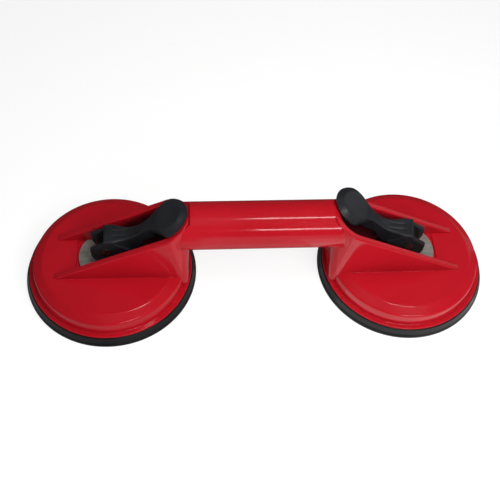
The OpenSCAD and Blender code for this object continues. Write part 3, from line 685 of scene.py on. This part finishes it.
# keel under the neck and the thumb pad, with cells open downwards
def keelShell():
    v = lever
    out, hole, e = v["neckHalf"] - 0.03, v["cellHalf"], 0.5  # half widths of keel and cells, edge
    start, toe, end = v["waistX"] - v["keelLap"], v["keelEnd"] - v["keelToe"], v["keelEnd"]
    rows = []

    def section(x, low, roof=None):
        roof = low if roof is None else roof
        top = min(rimZ(x) + v["thumbGap"] + 0.8, float(leverTop(x)) - 1.6)
        y = [out, out, out - 0.15, out - e, hole, hole, -hole, -hole, e - out, 0.15 - out, -out, -out]
        z = [top, low + e, low + 0.15, low, low, roof, roof, low, low, low + 0.15, low + e, top]
        rows.append(np.stack([np.full(12, x), np.array(y), np.array(z)], axis=-1))

    def keelLow(x):
        return rimZ(x) - v["keelDepth"]

    def cellRoof(x):
        return min(float(leverTop(x)) - v["cellSkin"], rimZ(x) + 0.3)

    section(start, heelZ(start))
    for i in range(v["cells"]):
        a = v["waistX"] + i * (v["cell"] + v["cellRib"])
        b = a + v["cell"]
        section(a, keelLow(a))
        section(a, keelLow(a), cellRoof(a))
        section(b, keelLow(b), cellRoof(b))
        section(b, keelLow(b))
    section(toe, keelLow(toe))
    section(toe + 0.8, keelLow(toe) + 0.35)
    section(end, rimZ(end) + v["thumbGap"] + 0.3)
    points = np.stack(rows)
    first, last = points[:1].mean(axis=1, keepdims=True), points[-1:].mean(axis=1, keepdims=True)
    first, last = (np.broadcast_to(p, (1,) + points.shape[1:]) for p in (first, last))
    return shell(np.concatenate([first, points, last]), closeCols=True)


# one arm of the fork: the cam's outline carried across it, from the pin's hole out and back, with
# rounded edges; the cam is an involute, so its reach from the pin falls evenly with the lever's angle
def forkShell(sign):
    v = lever
    rate = v["camDrop"] / 90.0
    angle = np.radians(np.linspace(96, -6, 60))
    slip = np.degrees(rate)
    reach = v["camReach"] - rate * np.degrees(angle)
    camX = -reach * np.sin(angle) + slip * np.cos(angle)
    camZ = -reach * np.cos(angle) - slip * np.sin(angle)
    back = roundedLine([
        (float(camX[-1]), float(camZ[-1]), 0),
        (v["heelX"], -v["heelDrop"], v["heelRound"]), (v["heelX"], v["heelTop"], v["heelRound"]),
        (v["crownBackX"], v["crownZ"], v["crownRound"]), (v["crownX"], v["crownZ"], v["crownRound"]),
        (v["noseX"], v["noseTop"], v["noseRound"]),
        (float(camX[0]), float(camZ[0]), 0),
    ], steps=8)[1:-1]
    x, z = np.concatenate([camX, back[:, 0]]), np.concatenate([camZ, back[:, 1]])
    far = np.hypot(x, z)
    ux, uz = x / far, z / far
    inner, outer, e = v["slotHalf"], v["forkOut"], v["forkEdge"]
    bend = np.radians(np.linspace(0, 90, 6))
    ring = [(None, inner), (e, inner)]  # inset from the outline and place across; None is the pin's hole
    ring += [(e * (1 - math.sin(a)), inner + e * (1 - math.cos(a))) for a in bend]
    ring += [(e * (1 - math.cos(a)), outer - e * (1 - math.sin(a))) for a in bend]
    ring += [(None, outer)]
    rows = []
    for inset, y in ring:
        r = np.full_like(far, v["pinR"]) if inset is None else far - inset
        rows.append(np.stack([ux * r, np.full_like(far, sign * y), v["pinZ"] + uz * r], axis=-1))
    return shell(np.stack(rows), closeRows=True, closeCols=True)


for side in (left, right):
    name = sideNames[side]
    shells = [leverSkin(), keelShell(), forkShell(1), forkShell(-1)]
    swing = lever["swing"] if side == right else 0.0
    camLever = putPiece(name + "CamLever", onCup(shells, side, swing), leverPlastic, leverSmoothUpTo)
    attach(camLever, name + "_lever_arm")
    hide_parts(name + "_lever")

# rubber pads and return springs

pad = {
    "radius": 59.0, "height": 7.4, "lipIn": 45.0, "roofR": 14.0, "roofZ": 5.0, "seatIn": 47.1,
    "lean": 2.2, "webZ": 6.6, "collarIn": 20.05, "collarOut": 22.05, "collarZ": 8.95, "floorZ": 7.95,
    "beadZ": 1.6, "beadIn": 1.0, "neckZ": 3.2, "seatStep": 0.8, "collarFoot": 2.0,
    "moveR": 21.0, "stillR": 46.0,  # on the real pad the middle follows the stud and the rim stays
}


# a profile turned about the axis: chamber roof, dome, lip, side with its bead, seat and collar
def padShell():
    p = pad
    r = np.linspace(p["roofR"], p["lipIn"], 24)
    dome = np.stack([r, p["roofZ"] * (1 - ease((r - p["roofR"]) / (p["lipIn"] - p["roofR"])))], axis=-1)
    side = roundedLine([
        (p["lipIn"], 0.0, 0), (p["radius"], 0.0, 0.7), (p["radius"], p["beadZ"], 0.5),
        (p["radius"] - p["beadIn"], p["neckZ"], 0.8), (p["radius"] - p["lean"], p["height"], 0.6),
        (p["seatIn"], p["height"], 0.2), (p["seatIn"] - p["seatStep"], p["webZ"], 0.2),
        (p["collarOut"] + p["collarFoot"], p["webZ"], 1.0), (p["collarOut"], p["collarZ"], 0.4),
        (p["collarIn"], p["collarZ"], 0.3), (p["collarIn"], p["floorZ"], 0), (0.0, p["floorZ"], 0),
    ])
    line = np.concatenate([[[0.0, p["roofZ"]]], dome, side[1:]])
    turn = np.linspace(0, 2 * np.pi, 224, endpoint=False)[None, :]
    radius, z = line[:, :1], line[:, 1:]
    points = np.broadcast_arrays(radius * np.cos(turn), radius * np.sin(turn), z)
    return shell(np.stack(points, axis=-1), closeCols=True)


spring = {
    "lowR": 17.8, "highR": 12.8, "lowZ": 10.9, "highZ": 15.1, "turns": 3, "wire": 0.8, "perTurn": 48,
}


# a round wire carried along a conical helix
def springShell():
    s = spring
    t = np.linspace(0, 1, s["turns"] * s["perTurn"] + 1)[:, None]
    turn = 2 * np.pi * s["turns"] * t
    middle = s["lowR"] + (s["highR"] - s["lowR"]) * t
    a = np.linspace(0, 2 * np.pi, 12, endpoint=False)[None, :]
    wire = np.where((t == 0) | (t == 1), 0.0, s["wire"])
    r = middle + wire * np.cos(a)
    z = s["lowZ"] + (s["highZ"] - s["lowZ"]) * t + wire * np.sin(a)
    return shell(np.stack([r * np.cos(turn), r * np.sin(turn), z], axis=-1), closeCols=True)


for side in (left, right):
    name = sideNames[side]
    suctionPad = putPiece(name + "SuctionPad", onCup([padShell()], side), padRubber)
    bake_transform(suctionPad)
    padPoints = meshPoints(suctionPad)
    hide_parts(name + "_suction_pad")

    returnSpring = putPiece(name + "ReturnSpring", onCup([springShell()], side), platedSteel)
    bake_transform(returnSpring)
    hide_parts(name + "_return_spring")

# finishes of the solids that keep their shape
keptFinish = {
    "pad_plate": platedSteel, "draw_stud": darkSteel, "lock_nut": platedSteel, "guide_bush": bushNylon,
    "spring_washer": platedSteel, "cam_plate": camSteel, "lever_pin": platedSteel,
}
for side in (left, right):
    for part, material in keptFinish.items():
        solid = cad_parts[sideNames[side] + "_" + part]
        solid.data.materials.clear()
        solid.data.materials.append(material)
print("finishes set")

# floor, light and camera

stage = {
    "floorHalf": 3.0, "floorZ": -0.0002, "floorShade": 0.3, "floorRough": 0.9, "floorGlow": 0.78,
    "room": 0.05, "backdrop": 0.9,
}
white = (1, 1, 1, 1)
floorMesh = bpy.data.meshes.new("paleFloor")
corners = np.array([[-1, -1, 0], [1, -1, 0], [1, 1, 0], [-1, 1, 0]]) * stage["floorHalf"]
corners[:, 2] = stage["floorZ"]
floorMesh.from_pydata(corners.tolist(), [], [(0, 1, 2, 3)])
paleFloor = bpy.data.objects.new("paleFloor", floorMesh)
bpy.context.scene.collection.objects.link(paleFloor)
floorCoat = startMaterial("floorCoat")[0]
floorShader = floorCoat.node_tree.nodes["Principled BSDF"]
floorShader.inputs["Base Color"].default_value = (*[stage["floorShade"]] * 3, 1)
floorShader.inputs["Roughness"].default_value = stage["floorRough"]
floorShader.inputs["Specular IOR Level"].default_value = 0.0
floorShader.inputs["Emission Color"].default_value = white
floorShader.inputs["Emission Strength"].default_value = stage["floorGlow"]
floorMesh.materials.append(floorCoat)
paleFloor.visible_glossy = False  # the gloss shows the dim room and the lamps only

# a dim room around the part, with a pale backdrop where the camera looks past it
world = bpy.data.worlds.new("room")
world.use_nodes = True
worldNodes, worldLinks = world.node_tree.nodes, world.node_tree.links
dimRoom = worldNodes["Background"]
dimRoom.inputs["Strength"].default_value = stage["room"]
dimRoom.inputs["Color"].default_value = white
backdrop = worldNodes.new("ShaderNodeBackground")
backdrop.inputs["Strength"].default_value = stage["backdrop"]
backdrop.inputs["Color"].default_value = white
seen = worldNodes.new("ShaderNodeLightPath")
either = worldNodes.new("ShaderNodeMixShader")
worldLinks.new(seen.outputs["Is Camera Ray"], either.inputs[0])
worldLinks.new(dimRoom.outputs[0], either.inputs[1])
worldLinks.new(backdrop.outputs[0], either.inputs[2])
worldLinks.new(either.outputs[0], worldNodes["World Output"].inputs["Surface"])
bpy.context.scene.world = world
bpy.context.scene.view_settings.view_transform = "Standard"


# place, size, watts, aim, and whether the gloss shows the lamp
# four of the sheens lie on the floor and face up, as a pale table top that the paint mirrors
lamps = {
    "overheadStrip": ((0.3, -0.2, 1.5), (0.42, 0.13), 1.7, (0.3, -0.2, 0), True),
    "frontStrip": ((0.4, -1.2, 0.72), (0.6, 0.13), 2.4, (0.35, 0, 0.03), True),
    "keySoft": ((0.2, -0.28, 0.42), (0.25, 0.25), 1.35, (0, 0, 0.03), False),
    "topSoft": ((0.12, 0.04, 0.42), (0.3, 0.3), 0.6, (0.08, 0.03, 0), False),
    "overSoft": ((-0.08, -0.16, 0.5), (0.3, 0.3), 0.8, (-0.08, -0.1, 0), False),
    "tableSheen": ((0.43, -0.395, -0.0001), (0.94, 0.73), 0.93, (0.43, -0.395, 1), True),
    "middleSheen": ((0, 0.015, -0.0001), (0.08, 0.09), 0.0045, (0, 0.015, 1), True),
    "rightSheen": ((0.12, -0.075, -0.0001), (0.16, 0.15), 0.03, (0.12, -0.075, 1), True),
    "leftSheen": ((-0.12, -0.075, -0.0001), (0.16, 0.15), 0.018, (-0.12, -0.075, 1), True),
    "backSheen": ((0.8, 0.59, 0.37), (0.5, 0.5), 0.25, (0.06, 0, 0.07), True),
}


def areaLight(name, place, size, power, aim, inReflections):
    lamp = bpy.data.lights.new(name, "AREA")
    lamp.shape = "RECTANGLE"
    lamp.size, lamp.size_y = size
    lamp.energy = power
    holder = bpy.data.objects.new(name, lamp)
    z = np.array(place, float) - np.array(aim, float)  # a lamp shines along its own -z
    z = z / np.linalg.norm(z)
    x = np.array([1.0, 0.0, 0.0])
    x = x - z * (x @ z)
    x = x / np.linalg.norm(x)
    holder.matrix_world = poseMatrix(np.column_stack([x, np.cross(z, x), z]), place)
    holder.visible_glossy = inReflections
    holder.visible_camera = False
    bpy.context.scene.collection.objects.link(holder)


for lampName, settings in lamps.items():
    areaLight(lampName, *settings)

view = {  # place in mm and turn of the camera, fitted to the outlines in the photograph
    "place": (-41.34, -291.98, 463.07), "yaw": 0.12012, "pitch": 0.98013, "roll": 0.07879,
    "lens": 55.12, "sensor": 36.0, "near": 0.01,
}
yaw, pitch, roll = view["yaw"], view["pitch"], view["roll"]
ahead = np.array([math.sin(yaw) * math.cos(pitch), math.cos(yaw) * math.cos(pitch), -math.sin(pitch)])
level = np.array([math.cos(yaw), -math.sin(yaw), 0.0])
upright = np.cross(level, ahead)
sideways = math.cos(roll) * level + math.sin(roll) * upright
upward = -math.sin(roll) * level + math.cos(roll) * upright
lens = bpy.data.cameras.new("photoView")
lens.lens = view["lens"]
lens.sensor_width = view["sensor"]
lens.clip_start = view["near"]
camera = bpy.data.objects.new("photoView", lens)
cameraPlace = np.array(view["place"]) * mm
camera.matrix_world = poseMatrix(np.column_stack([sideways, upward, -ahead]), cameraPlace)
bpy.context.scene.collection.objects.link(camera)
bpy.context.scene.camera = camera
print("stage set")
